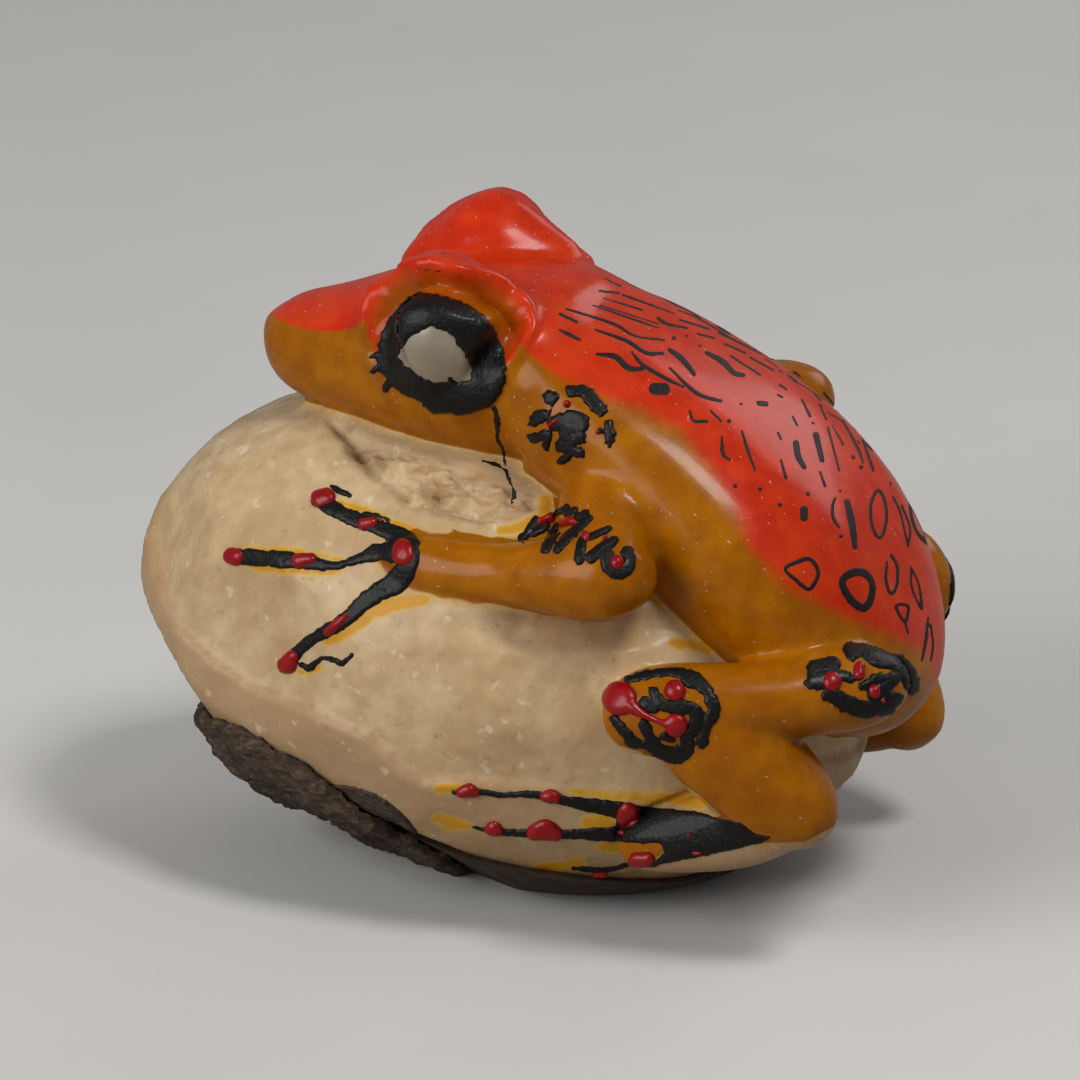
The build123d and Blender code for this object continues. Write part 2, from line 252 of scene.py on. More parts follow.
def outlineField(across, down, outline):
    away = np.full(across.shape, 1e6)
    inside = np.zeros(across.shape, bool)
    for (ax, ay), (bx, by) in zip(outline, outline[1:] + outline[:1]):
        dx, dy = bx - ax, by - ay
        share = np.clip(((across - ax) * dx + (down - ay) * dy) / max(dx * dx + dy * dy, 1e-9), 0, 1)
        away = np.minimum(away, np.hypot(across - ax - share * dx, down - ay - share * dy))
        crosses = ((ay > down) != (by > down))
        inside ^= crosses & (across < dx * (down - ay) / (dy if dy else 1e-9) + ax)
    return np.where(inside, away, -away)


def ragged(across, down, size, seed):
    flat = [noise.noise(Vector((a / size, d / size, seed))) for a, d in zip(across.ravel(), down.ravel())]
    return np.array(flat).reshape(across.shape)


# Mesh helpers

def onlySelect(*objects):
    bpy.ops.object.select_all(action="DESELECT")
    for each in objects:
        each.select_set(True)
    bpy.context.view_layer.objects.active = objects[0]


def copyNodes(name, names):
    copies = []
    for each in names:
        copy = bpy.data.objects.new(name, nodes[each].data.copy())
        bpy.context.scene.collection.objects.link(copy)
        copies.append(copy)
    onlySelect(*copies)
    if len(copies) > 1:
        bpy.ops.object.join()
    joined = bpy.context.view_layer.objects.active
    joined.data.materials.clear()
    bpy.ops.object.mode_set(mode="EDIT")
    bpy.ops.mesh.select_all(action="SELECT")
    bpy.ops.mesh.remove_doubles(threshold=0.002 * mm)
    bpy.ops.object.mode_set(mode="OBJECT")
    return joined


def modify(piece, kind, **settings):
    onlySelect(piece)
    modifier = piece.modifiers.new(kind.lower(), kind)
    for key, value in settings.items():
        setattr(modifier, key, value)
    bpy.ops.object.modifier_apply(modifier=modifier.name)
    return piece


def vectorsOf(items, key):
    flat = np.empty(len(items) * 3, np.float32)
    items.foreach_get(key, flat)
    return flat.reshape(-1, 3).astype(float)


def places(piece):
    return vectorsOf(piece.data.vertices, "co")


def normals(piece):
    return vectorsOf(piece.data.vertex_normals, "vector")


def movePlaces(piece, points):
    piece.data.vertices.foreach_set("co", points.astype(np.float32).ravel())
    piece.data.update()


def treeOf(piece):
    return BVHTree.FromPolygons([v.co for v in piece.data.vertices],
                                [p.vertices for p in piece.data.polygons])


def signedDistance(tree, points):
    distances = np.empty(len(points))
    for index, point in enumerate(points):
        spot, facing, face, away = tree.find_nearest(Vector(point))
        outside = (Vector(point) - spot).dot(facing) >= 0 or away > 2.5 * mm
        distances[index] = away if outside else -away
    return distances


def writeField(piece, name, values):
    layer = piece.data.attributes.new(name, "FLOAT", "POINT")
    layer.data.foreach_set("value", values.astype(np.float32))


def evened(piece, values, rounds):
    ends = np.empty(len(piece.data.edges) * 2, np.int32)
    piece.data.edges.foreach_get("vertices", ends)
    first, second = ends.reshape(-1, 2).T
    count = len(values)
    joined = np.maximum(np.bincount(ends, minlength=count), 1)
    for again in range(rounds):
        around = np.bincount(first, values[second], count) + np.bincount(second, values[first], count)
        values = 0.5 * values + 0.5 * around / joined
    return values


# The carving: frog and nut are one kernel, so they are blended together first and parted after.

frogNodes = [name for name in nodes if name.startswith("frog_") or name.endswith((
    "_brow", "_upper_arm", "_forearm", "_thigh", "_shin", "_foot"))]

carving = {
    "voxel": 0.27 * mm,
    "blendRounds": 8,
    "partingReach": 0.8 * mm,
    "partingVoxel": 0.4 * mm,
}


def blendedCarving():
    whole = copyNodes("carving", frogNodes + ["nut_kernel"])
    modify(whole, "REMESH", mode="VOXEL", voxel_size=carving["voxel"], adaptivity=0)
    modify(whole, "SMOOTH", factor=0.5, iterations=carving["blendRounds"])
    return whole


whole = blendedCarving()
print("carving blended:", len(whole.data.polygons), "faces")


def treeOfNodes(names):
    form = copyNodes("form", names)
    tree = treeOf(form)
    bpy.data.objects.remove(form)
    return tree


limbNodes = [name for name in frogNodes if name.split("_")[-1] in ("arm", "forearm", "thigh", "shin", "foot")]
kernelTree = treeOfNodes(["nut_kernel"])
limbTree = treeOfNodes(limbNodes)
bodyTree = treeOfNodes([name for name in frogNodes if name not in limbNodes])

outlines = {
    "redBelow": [
        (-400, -400), (1500, -400), (1500, 700), (960, 690), (945, 665), (900, 640), (850, 620), (790, 590),
        (750, 550), (735, 510), (710, 470), (680, 430), (640, 410), (600, 396), (560, 378), (533, 358),
        (521, 342), (529, 326), (526, 307), (513, 289), (493, 279), (456, 272), (432, 268), (406, 268),
        (392, 274), (380, 284), (371, 299), (366, 316), (357, 327), (340, 331), (318, 331), (300, 328),
        (284, 322), (272, 316), (240, 300), (-400, 300),
    ],
    "hoodInside": [
        (366, 318), (371, 297), (379, 284), (397, 270), (432, 264), (457, 272), (493, 280), (514, 289),
        (527, 307), (530, 326), (521, 344), (508, 366), (500, 396), (470, 420), (420, 415), (385, 385),
        (370, 350),
    ],
    "chinHollow": [
        (318, 410), (360, 428), (410, 446), (460, 462), (505, 474), (540, 490), (548, 506), (520, 520),
        (480, 528), (440, 524), (400, 508), (372, 488), (345, 455),
    ],
    "bareFoot": [
        (540, 780), (604, 742), (641, 752), (668, 774), (700, 796), (722, 816), (690, 820), (640, 812),
        (608, 842), (620, 866), (645, 868), (664, 852), (700, 850), (745, 842), (775, 843), (805, 842),
        (835, 826), (900, 860), (900, 940), (540, 940),
    ],
    "elbowPit": [
        (508, 547), (522, 540), (540, 527), (555, 511), (553, 498), (554, 486), (575, 480), (600, 520),
        (590, 556), (512, 558),
    ],
    "pared": [
        (188, 438), (172, 480), (158, 528), (163, 570), (180, 622), (215, 655), (254, 682), (305, 704),
        (371, 733), (400, 762), (424, 778), (470, 776), (560, 786), (640, 792), (800, 760), (900, 740),
        (960, 300), (500, 200), (300, 300), (240, 400),
    ],
}
eyeShift = (-15, -2)  # pixels by which the far eye stands off from the mirrored near one


def unevenness(points, size, seed, detail=2):
    return np.array([noise.fractal(Vector(point) / size + Vector((seed, 0, 0)), 0.6, 2.0, detail)
                     for point in points])


def toEyePixels(points, across, down):
    far = points[:, 1] > 0
    return across - far * eyeShift[0], down - far * eyeShift[1]


socket = {
    "middle": (442, 352),
    "reach": 66,
    "depth": 1.35 * mm,
    "bulge": 1.0 * mm,
    "lip": 0.3 * mm,
    "innerSide": (3.4 * mm, 4.9 * mm),
}


def socketPush(points, facing, across, down):
    # the hood is hollowed round the eye, with a lip at its rim and a dome in the middle
    hidden = np.where(points[:, 1] > 0, smooth(0.2, -0.15, facing @ lookBack), 1)
    hood = outlineField(across, down, outlines["hoodInside"])
    middle = np.hypot(across - socket["middle"][0], down - socket["middle"][1]) / socket["reach"]
    upper = smooth(395, 330, down)
    hollow = smooth(-3, 15, hood) * smooth(46, 22, hood) * socket["depth"] * upper
    lip = smooth(-13, -2, hood) * smooth(5, -2, hood) * socket["lip"] * upper
    bulge = np.sqrt(np.clip(1 - (middle / 1.12) ** 2, 0, 1)) * socket["bulge"] * (0.35 + 0.65 * upper)
    return (bulge + lip - hollow) * hidden * smooth(*socket["innerSide"], np.abs(points[:, 1]))


nut = {
    "chinDepth": 0.75 * mm,
    "flakeDepth": 1.0 * mm,
    "flakeSize": 2.0 * mm,
    "flakeSteps": 4,
    "underArm": {"middle": (560, 628), "reach": (135, 30), "depth": 0.9 * mm},
    "paredRise": 0.42 * mm,
    "lumpSize": 2.2 * mm,
    "lumps": 0.07 * mm,
}


def nutPush(points, across, down):
    # chipped under the chin and scooped under the arm, with a raised edge where the paring ends
    chin = smooth(0, 18, outlineField(across, down, outlines["chinHollow"]))
    grain = lookRight * 0.8 - lookUp * 0.6
    plates = points + np.outer(points @ grain, grain * -0.6)
    flakes = unevenness(plates, nut["flakeSize"], 7.0, 3)
    flakes = np.floor(flakes * nut["flakeSteps"] + 0.5) / nut["flakeSteps"] + 0.3 * flakes
    scoop = nut["underArm"]
    away = np.hypot((across - scoop["middle"][0]) / scoop["reach"][0],
                    (down - scoop["middle"][1]) / scoop["reach"][1])
    pared = outlineField(across, down, outlines["pared"])
    return (smooth(2, -6, pared) * smooth(-95, -12, pared) * nut["paredRise"]
            - chin * (nut["chinDepth"] + nut["flakeDepth"] * flakes)
            - smooth(1.0, 0.15, away) * scoop["depth"])


noseDepth = 0.35 * mm


def carve(piece):
    points, facing = places(piece), normals(piece)
    across, down = toPixels(points)
    seen = smooth(-0.05, 0.25, mirroredNear(facing, points) @ lookBack)
    onFrog = signedDistance(kernelTree, points)
    frogAway = np.minimum(signedDistance(limbTree, points), signedDistance(bodyTree, points))
    nutShare = smooth(0.1 * mm, 0.7 * mm, frogAway - onFrog)
    push = (socketPush(points, facing, *toEyePixels(points, across, down))
            * seen * (1 - nutShare) * smooth(0, 2 * mm, onFrog))
    nose = smooth(372, 300, across) * smooth(330, 300, down) * smooth(0.2, 0.8, facing[:, 2])
    push -= nose * (1 - nutShare) * noseDepth
    push += nutPush(points, across, down) * seen * nutShare
    push += unevenness(points, nut["lumpSize"], 3.0, 4) * nutShare * nut["lumps"]
    points += facing * push[:, None]
    points[:, 2] = np.maximum(points[:, 2], 0)
    movePlaces(piece, points)


neck = {"middle": (4.5 * mm, 0, 30.9 * mm), "facing": (-0.977, 0, 0.212), "reach": 3.4 * mm, "rounds": 140}


def easeNeck(piece):
    points = places(piece)
    away = np.abs((points - np.array(neck["middle"])) @ np.array(neck["facing"]))
    clear = smooth(0.6 * mm, 1.8 * mm, signedDistance(kernelTree, points))
    group = piece.vertex_groups.new(name="neck")
    for index, share in enumerate(smooth(neck["reach"], 0.8 * mm, away) * clear):
        if share > 0.01:
            group.add([index], float(share), "REPLACE")
    modify(piece, "SMOOTH", factor=0.5, iterations=neck["rounds"], vertex_group="neck")


easeNeck(whole)
carve(whole)
print("carving cut")


def splitCarving(piece):
    reach = copyNodes("reach", frogNodes)
    modify(reach, "REMESH", mode="VOXEL", voxel_size=carving["partingVoxel"], adaptivity=0)
    movePlaces(reach, places(reach) + normals(reach) * carving["partingReach"])
    modify(reach, "REMESH", mode="VOXEL", voxel_size=carving["partingVoxel"], adaptivity=0)
    parts = []
    for name, operation in (("frogCarving", "INTERSECT"), ("nutCarving", "DIFFERENCE")):
        part = bpy.data.objects.new(name, piece.data.copy())
        bpy.context.scene.collection.objects.link(part)
        modify(part, "BOOLEAN", operation=operation, object=reach, solver="MANIFOLD")
        onlySelect(part)
        bpy.ops.object.shade_smooth()
        modify(part, "DATA_TRANSFER", object=piece, use_loop_data=True, data_types_loops={"CUSTOM_NORMAL"},
               loop_mapping="POLYINTERP_NEAREST")
        parts.append(part)
    bpy.data.objects.remove(reach)
    return parts


onlySelect(whole)
bpy.ops.object.shade_smooth()
frogCarving, nutCarving = splitCarving(whole)
print("carving parted:", len(frogCarving.data.polygons), len(nutCarving.data.polygons))
paintTree = treeOf(whole)
bpy.data.objects.remove(whole)

handLines = {
    "black": [
        [(318, 500, 8), (340, 512, 8), (356, 520, 8), (383, 529, 8), (404, 540, 11), (411, 544, 9)],
        [(405, 540, 10), (411, 552, 9), (408, 566, 10), (398, 580, 12), (382, 590, 10.5), (366, 600, 9),
         (353, 613, 8), (337, 625, 7.5), (314, 638, 6.5), (301, 649, 6), (288, 663, 8)],
        [(404, 552, 12), (379, 552, 9), (365, 557, 6), (350, 562, 4.5), (334, 566, 4.5), (318, 564, 6.5),
         (292, 560, 8.5), (245, 557, 8.5), (235, 557, 9)],
        [(301, 664, 3), (309, 668, 4), (315, 663, 3), (324, 658, 3), (335, 660, 3), (342, 663, 3), (352, 655, 2.5)],
        [(331, 486, 2), (338, 490, 3.5), (349, 495, 3)],
        [(365, 514, 2.5), (381, 517, 2.5), (389, 520, 1.5)],
    ],
    "red": [
        [(320, 499, 9), (327, 497, 9)], [(364, 524.5, 6), (373, 523, 6)], [(404, 551, 11), (404, 555, 11.5)],
        [(233, 556, 9), (236, 557, 9)], [(299, 561, 8), (311, 559, 6.5)],
        [(288, 664, 10), (293, 656, 7)], [(329, 632, 4.5), (338, 624, 5), (348, 615, 3)],
    ],
}
armLines = {
    "black": [
        [(523, 538, 3.5), (536, 521, 4)], [(534, 534, 3), (545, 526, 3.5)], [(546, 548, 4.5), (558, 527, 4)],
        [(557, 549, 3.5), (571, 534, 4), (589, 519, 3)], [(556, 514, 2), (567, 506, 2)],
        [(567, 514, 2), (575, 509, 2)], [(577, 518, 2.5), (586, 513, 2.5)], [(579, 560, 4), (582, 542, 4)],
        [(583, 540, 3), (595, 535, 3), (608, 529, 2.5)], [(591, 557, 5), (603, 548, 5), (614, 541, 4)],
        [(606, 552, 6), (610, 566, 7), (620, 572, 7), (629, 564, 6), (627, 552, 5)],
    ],
    "red": [
        [(540, 522, 4), (551, 518, 5)], [(563, 524, 3.5), (572, 521, 5)], [(586, 537, 5)], [(605, 538, 3)],
        [(617, 563, 7.5)],
    ],
    "shift": (28, -8),
    "hinge": (400, 620),
    "fuller": 1.2,
}
chestLines = {
    "black": [
        [(551, 397, 8)], [(571, 391, 6.5), (585, 393, 7), (595, 403, 8), (602, 411, 6)],
        [(608, 424, 5), (610, 436, 5), (608, 446, 3.5)], [(600, 429, 2.5), (603, 432, 2)],
        [(546, 413, 6), (538, 418, 7), (534, 424, 5)], [(554, 424, 8), (573, 418, 8), (583, 424, 8), (567, 432, 9)],
        [(534, 438, 5), (546, 436, 7), (546, 448, 3)], [(579, 436, 8), (563, 446, 8.5), (581, 453, 4.5)],
        [(569, 456, 5), (560, 461, 2.5)],
    ],
    "red": [[(567, 404, 4)], [(551, 425, 3), (557, 420, 3)], [(598, 432, 2.6)], [(563, 442, 1.8)], [(575, 439, 1.8)]],
}
kneeLines = {
    "black": [
        [(628, 680, 2), (645, 675, 3.5), (677, 673, 4), (691, 679, 8), (702, 685, 6), (712, 701, 5.5), (715, 710, 5),
         (709, 722, 4.5), (705, 731, 4), (702, 742, 5)],
        [(689, 745, 5), (682, 753, 8), (666, 754, 7), (652, 745, 6)],
        [(615, 719, 4), (624, 731, 5), (634, 742, 5), (643, 744, 3)], [(645, 726, 5), (651, 738, 5), (654, 746, 5)],
        [(645, 703, 5), (655, 709, 4.5)], [(654, 692, 5), (661, 703, 5), (677, 708, 7), (691, 708, 6),
         (697, 719, 6), (692, 731, 5), (684, 738, 4)], [(664, 736, 4), (672, 739, 3)],
    ],
    "red": [[(620, 699, 17)], [(628, 704, 9), (643, 714, 4.5), (659, 721, 3), (668, 724, 5)], [(676, 725, 12)],
            [(675, 691, 11)]],
    "shift": (-18, 14),
    "fuller": 1.2,
}
hipLines = {
    "black": [
        [(813, 669, 7), (833, 664, 8)], [(811, 683, 6), (820, 680, 9), (842, 676, 5), (852, 679, 4)],
        [(852, 651, 9), (863, 649, 6), (870, 655, 8), (884, 660, 8.5), (897, 663, 8.5), (905, 671, 8.5),
         (911, 681, 8.5), (913, 689, 5)],
        [(831, 694, 8), (842, 701, 8), (854, 708, 8), (868, 709, 8), (886, 706, 8), (895, 699, 7)],
        [(863, 685, 5), (875, 679, 4), (895, 679, 5), (886, 686, 6), (872, 694, 4)],
    ],
    "red": [[(832, 682, 10)], [(859, 668, 6), (859, 675, 6)], [(874, 690, 6), (874, 693, 6)], [(882, 700, 3)]],
    "shift": (-53, 36),
    "fuller": 0.8,
}
footLines = {
    "black": [
        [(454, 792, 2.5), (480, 792, 3.5), (504, 795, 3), (532, 794, 4), (566, 801, 5), (588, 805, 7), (611, 809, 8),
         (640, 818, 11)],
        [(473, 827, 1.5), (494, 831, 3), (518, 833, 4), (569, 834, 5), (594, 834, 6.5), (616, 834, 8),
         (645, 830, 14)],
        [(573, 868, 2), (600, 870, 3), (616, 868, 2.5), (630, 864, 2), (655, 863, 4)],
    ],
    "blackOutline": [(616, 800), (642, 806), (672, 809), (701, 812), (718, 818), (740, 822), (754, 833), (770, 837),
                     (761, 843), (715, 854), (667, 863), (650, 866), (664, 852), (661, 844), (639, 840), (616, 838)],
    "red": [
        [(461, 792, 5), (469, 790, 7), (475, 792, 5)], [(544, 796, 5), (551, 796, 7), (557, 797, 5)],
        [(628, 814, 12), (629, 817, 12)], [(487, 829, 3), (494, 828, 7), (501, 831, 3)],
        [(533, 832, 7), (545, 829, 10), (556, 833, 7)], [(636, 859, 7), (648, 859, 7)],
        [(623, 833, 3.5)], [(690, 835, 3.2)], [(695, 852, 2.6), (700, 852, 2.6)], [(594, 873, 2.5), (605, 873, 2.5)],
    ],
    "shift": (-7, 12),
}
eyeOutline = [
    (381, 336), (387, 322), (396, 309), (408, 297), (420, 292), (436, 294), (456, 300), (473, 307), (484, 316),
    (493, 326), (501, 344), (507, 366), (506, 380), (502, 393), (495, 402), (485, 409), (461, 415), (432, 413),
    (418, 401), (397, 391), (387, 379), (380, 372), (376, 358), (379, 346),
]
pupilOutline = [
    (400, 356), (404, 347), (410, 340), (415, 334), (422, 331), (431, 328), (440, 330), (447, 333), (453, 338),
    (461, 350), (466, 360), (471, 371), (470, 379), (456, 381), (436, 381), (427, 378), (418, 373), (406, 364),
]
eyeLines = {
    "black": [
        [(388, 352, 5), (371, 357, 3)], [(386, 362, 5), (373, 371, 3)], [(392, 378, 5), (386, 388, 3.5)],
        [(384, 344, 5), (378, 345, 2)], [(450, 378, 4), (451, 381, 5)],
    ],
    "blackOutline": eyeOutline,
    "hole": pupilOutline,
    "red": [],
    "shift": eyeShift,
}
backLines = {
    "black": [
        [(604, 278, 1.5), (620, 286, 2)], [(600, 291, 2), (619, 293, 2)],
        [(623, 295, 2), (640, 301, 2), (675, 314, 1.5)],
        [(603, 298, 1.5), (642, 310, 2)], [(592, 305, 1.5), (638, 321, 2), (659, 328, 1.5)],
        [(567, 309, 2), (614, 324, 2.5), (635, 336, 2), (664, 340, 2)], [(600, 305, 1.5), (659, 324, 1.5)],
        [(658, 318, 2.5), (667, 324, 2.5), (687, 328, 2)], [(680, 320, 2), (709, 329, 2)],
        [(698, 334, 2), (714, 338, 2)],
        [(719, 333, 2), (742, 344, 2), (773, 360, 1.5)], [(725, 344, 2), (745, 353, 2)],
        [(731, 356, 2), (760, 375, 2)],
        [(751, 358, 2), (773, 370, 2)], [(674, 338, 3)], [(687, 336, 2.5)], [(700, 346, 2.5)],
        [(707, 353, 3), (723, 362, 4), (734, 373, 3.5), (743, 375, 3)], [(670, 350, 3), (683, 360, 4), (694, 374, 3)],
        [(596, 330, 2), (627, 341, 3), (646, 353, 3), (663, 353, 2.5)],
        [(597, 354, 2.5), (616, 357, 4), (628, 368, 4), (642, 369, 3)],
        [(632, 352, 2), (643, 365, 3), (667, 379, 3), (683, 387, 2)],
        [(670, 368, 2), (689, 387, 3), (702, 396, 3), (721, 401, 2.5)], [(655, 389, 7), (664, 389, 7)],
        [(560, 314, 2.5), (577, 322, 2.5)], [(560, 330, 2), (568, 334, 3), (580, 340, 2.5)],
        [(690, 411, 2), (694, 421, 2.5), (707, 421, 2.5)], [(711, 411, 2), (721, 421, 2)], [(729, 421, 3)],
        [(759, 403, 3.5), (766, 404, 3.5)], [(741, 404, 2.5)], [(722, 437, 2), (723, 454, 3), (730, 460, 2)],
        [(742, 431, 2), (747, 448, 2.5), (755, 470, 2)], [(735, 486, 3)], [(760, 489, 3)], [(780, 505, 3)],
        [(804, 510, 5), (804, 517, 5)], [(808, 494, 3)], [(781, 460, 2), (786, 478, 2.5)],
        [(796, 443, 4), (798, 456, 4), (804, 467, 3.5)], [(778, 433, 2), (781, 439, 2)],
        [(793, 417, 2), (797, 425, 2)],
        [(780, 385, 2), (786, 389, 2)], [(778, 395, 2), (782, 397, 2)], [(789, 376, 2), (796, 381, 2)],
        [(794, 372, 2), (800, 376, 2)], [(802, 400, 2), (810, 416, 2.5)], [(813, 423, 2.5)],
        [(820, 405, 2), (826, 419, 2)], [(812, 390, 2), (820, 400, 2)], [(824, 393, 2), (836, 407, 2)],
        [(816, 435, 4), (822, 460, 3.5)], [(828, 428, 2), (839, 470, 2)], [(832, 425, 1.5), (843, 444, 2)],
        [(843, 421, 2), (857, 447, 2.5), (863, 462, 2)], [(861, 435, 2), (873, 470, 2.5)], [(853, 457, 3)],
        [(861, 467, 3)], [(820, 472, 2), (825, 486, 2.5)],
        [(835, 498, 2), (832, 509, 2.5), (834, 520, 2.5), (839, 527, 2)],
        [(841, 536, 3)], [(840, 491, 2.5)], [(847, 502, 4), (852, 524, 4.5), (855, 547, 3.5)],
        [(878, 490, 2.5), (885, 502, 2.5), (886, 522, 2.5), (880, 538, 2.5), (872, 526, 2.5), (871, 504, 2.5),
         (878, 490, 2.5)],
        [(893, 497, 2), (900, 512, 2), (908, 546, 2)], [(902, 506, 2), (910, 528, 2), (908, 546, 2)],
        [(785, 569, 2.5), (797, 562, 3), (810, 559, 3), (818, 571, 3), (815, 582, 3), (808, 589, 3), (796, 580, 3),
         (785, 569, 2.5)],
        [(842, 582, 4.5), (852, 573, 5), (864, 573, 5), (872, 583, 4), (871, 598, 4.5), (864, 608, 5), (851, 600, 5),
         (842, 582, 4.5)],
        [(891, 555, 2.5), (897, 566, 2.5), (897, 584, 2.5), (891, 594, 2.5), (886, 580, 2.5), (887, 562, 2)],
        [(911, 567, 2), (919, 585, 2), (922, 609, 2.5)], [(911, 567, 2), (912, 588, 2), (920, 607, 2)],
        [(896, 606, 2.5), (908, 606, 2.5), (905, 622, 2.5), (896, 606, 2.5)], [(905, 622, 2), (908, 633, 2)],
        [(928, 618, 2), (926, 640, 2.5), (922, 660, 2)], [(931, 625, 2), (933, 645, 2), (931, 660, 2)],
        [(436, 272, 1.5), (442, 270, 1.5)], [(425, 270, 1.5), (430, 270, 1.5)],
    ],
    "red": [],
    "fuller": -0.5,
}
# painted shadow: a dark line sheet along the crack behind the jaw stands in for the split's depth
crackShadowLines = {
    "black": [
        [(494, 409, 3), (498, 423, 3), (497, 438, 2.5), (503, 448, 2), (505, 464, 1), (508, 477, 2), (514, 491, 2.5),
         (512, 503, 1.2)],
        [(483, 461, 1.2), (496, 465, 2), (506, 470, 2)],
    ],
    "red": [],
}

paint = {
    "sink": 0.10 * mm,
    "tuck": 0.02 * mm,
    "midline": 0.9 * mm,
    "glancing": -0.1,
    "blackHeight": 0.16 * mm,
    "redHeight": 0.42 * mm,
    "eyeHeight": 0.22 * mm,
    "stainHeight": 0.018 * mm,
}


def paintField(lines, colour, seed, roughEdge):
    def field(across, down):
        inside = chainField(across, down, lines[colour]) if lines[colour] else np.full(across.shape, -1e6)
        if colour == "black":
            inside = inside + lines.get("fuller", 0)
        if colour + "Outline" in lines:
            inside = np.maximum(inside, outlineField(across, down, lines[colour + "Outline"]))
        if "hole" in lines and colour == "black":
            blob = chainField(across, down, [lines["black"][-1]])
            inside = np.minimum(inside, np.maximum(-outlineField(across, down, lines["hole"]), blob))
        if roughEdge:
            inside = inside + ragged(across, down, 5, seed) * roughEdge + ragged(across, down, 13, seed) * roughEdge
        return inside
    return field


def paintSheet(name, field, corners, side, height, edge, shift, hinge, finish, step=1.5, span=21):
    (left, top), (right, bottom) = corners
    across, down = np.meshgrid(np.arange(left, right, step), np.arange(top, bottom, step))
    inside = field(across, down)
    inner = inside > 0
    cells = inner[:-1, :-1] | inner[1:, :-1] | inner[:-1, 1:] | inner[1:, 1:]
    rows, columns = np.nonzero(cells)
    width = across.shape[1]
    quads = np.stack([rows * width + columns, rows * width + columns + 1,
                      (rows + 1) * width + columns + 1, (rows + 1) * width + columns], axis=1)
    used = np.unique(quads)
    flatAcross, flatDown, flatInside = across.ravel()[used], down.ravel()[used], inside.ravel()[used]
    for again in range(2):
        outer = flatInside < 0
        a, d = flatAcross[outer], flatDown[outer]
        slopeAcross = (field(a + 0.5, d) - field(a - 0.5, d))
        slopeDown = (field(a, d + 0.5) - field(a, d - 0.5))
        steep = np.maximum(slopeAcross ** 2 + slopeDown ** 2, 0.25)
        move = np.clip(-flatInside[outer] / steep, -2 * step, 2 * step)
        if again:
            move = np.clip(-field(a, d) / steep, -step, step)
        flatAcross[outer] = a + move * slopeAcross
        flatDown[outer] = d + move * slopeDown
    spots, facings, hit = [], [], []
    for a, d in zip(flatAcross, flatDown):
        share = 1 if hinge is None else min(max((a - hinge[0]) / (hinge[1] - hinge[0]), 0), 1)
        start, aim = pixelRay(a + shift[0] * share, d + shift[1] * share, side)
        spot, facing, face, away = paintTree.ray_cast(start, aim)
        hit.append(spot is not None and facing.dot(aim) < paint["glancing"]
                   and (side < 0 or spot.y > paint["midline"]))
        spots.append(spot or start)
        facings.append(facing or aim)
    spots, facings, hit = np.array(spots), np.array(facings), np.array(hit)
    order = np.full(width * across.shape[0], -1)
    order[used] = np.arange(len(used))
    quads = order[quads]
    quads = quads[hit[quads].all(axis=1)]
    spans = np.linalg.norm(spots[quads] - spots[np.roll(quads, 1, axis=1)], axis=2).max(axis=1)
    quads = quads[spans < span * pixelSize]
    if side > 0:
        quads = quads[:, ::-1]
    if not len(quads):
        return None
    keep = np.unique(quads)
    order = np.full(len(spots), -1)
    order[keep] = np.arange(len(keep))
    quads = order[quads]
    spots, facings, insideNow = spots[keep], facings[keep], np.maximum(flatInside[keep], 0)
    rise = np.sqrt(np.clip(1 - (1 - np.clip(insideNow / edge, 0, 1)) ** 2, 0, 1)) * height
    rim = insideNow <= 0
    upper = spots + facings * (rise - rim * paint["tuck"])[:, None]
    lower = spots - facings * paint["sink"]
    count = len(keep)
    edges = {}
    for quad in quads:
        for first, second in zip(quad, np.roll(quad, -1)):
            edges[(first, second)] = edges.get((first, second), 0) + 1
    border = [(first, second) for first, second in edges if (second, first) not in edges]
    faces = [list(quad[::-1]) for quad in quads] + [list(quad + count) for quad in quads]
    faces += [[first, second, second + count, first + count] for first, second in border]
    mesh = bpy.data.meshes.new(name)
    mesh.from_pydata(np.concatenate([upper, lower]).tolist(), [], [[int(i) for i in face] for face in faces])
    piece = bpy.data.objects.new(name, mesh)
    bpy.context.scene.collection.objects.link(piece)
    onlySelect(piece)
    bpy.ops.object.mode_set(mode="EDIT")
    bpy.ops.mesh.select_all(action="SELECT")
    bpy.ops.mesh.normals_make_consistent(inside=False)
    bpy.ops.object.mode_set(mode="OBJECT")
    bpy.ops.object.shade_smooth()
    piece.data.materials.append(finish)
    return piece


def cornersOf(lines, colour):
    spots = [spot[:2] for chain in lines[colour] for spot in chain] + lines.get(colour + "Outline", [])
    return ((min(s[0] for s in spots) - 20, min(s[1] for s in spots) - 20),
            (max(s[0] for s in spots) + 20, max(s[1] for s in spots) + 20))


def blackFinish():
    finish = Finish("blackGloss")
    grain = finish.noise(0.5 * mm, 3)
    colour = finish.mix(grain, tone(5, 5, 6), tone(20, 18, 17))
    streaks = finish.noise(0.22 * mm, 2)
    return finish.surface(Base_Color=colour, Roughness=0.3 + 0.3 * grain, Specular_IOR_Level=0.2,
                          Coat_Weight=0.1, Coat_Roughness=0.12, Normal=finish.bump(streaks, 0.1 * mm, 0.8))


def inkFinish():
    finish = Finish("blackInk")
    grain = finish.noise(0.35 * mm, 3)
    colour = finish.mix(grain.step(0.3, 0.7), tone(10, 8, 8), tone(38, 20, 16))
    return finish.surface(Base_Color=colour, Roughness=0.4 + 0.25 * grain, Specular_IOR_Level=0.25,
                          Normal=finish.bump(grain, 0.03 * mm, 0.4))


